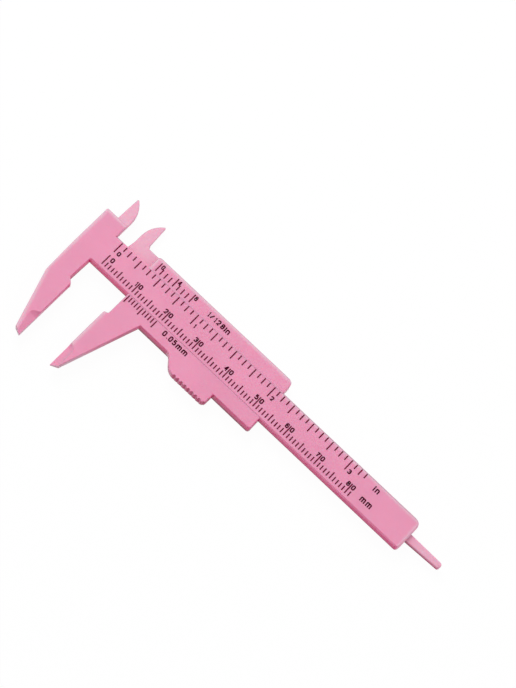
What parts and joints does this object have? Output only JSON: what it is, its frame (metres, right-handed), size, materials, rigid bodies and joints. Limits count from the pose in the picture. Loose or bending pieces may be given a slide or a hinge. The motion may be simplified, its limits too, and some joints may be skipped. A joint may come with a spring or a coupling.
{
  "type": "vernier caliper",
  "caption": "Small moulded plastic vernier caliper with metric and inch scales, outside and inside jaws, a sliding vernier with a ribbed thumb rest, and a depth rod.",
  "frame": {"origin": "middle of the object's box in length and width at a reading of 10.3 mm, at the height of the slider's back, on which it lies", "axes": "+X along the beam, from the fixed jaws towards the depth rod's tip, +Y from the outside jaws towards the inside jaws, +Z out of the face that carries the scales"},
  "size_m": [0.1174, 0.0444, 0.004],
  "materials": {
    "beam_plastic": "smooth moulded, slightly translucent pink",
    "slider_plastic": "smooth moulded, slightly translucent pink",
    "rod_plastic": "smooth moulded, slightly translucent pink"
  },
  "bodies": {
    "fixed": {"main_beam": "beam_plastic"},
    "slider": {"slider": "slider_plastic", "depth_rod": "rod_plastic"}
  },
  "joints": [
    {"name": "slider_travel", "type": "slide", "parent": "fixed", "child": "slider", "axis": [1, 0, 0], "range_m": [-0.01025, 0.0705]}
  ]
}
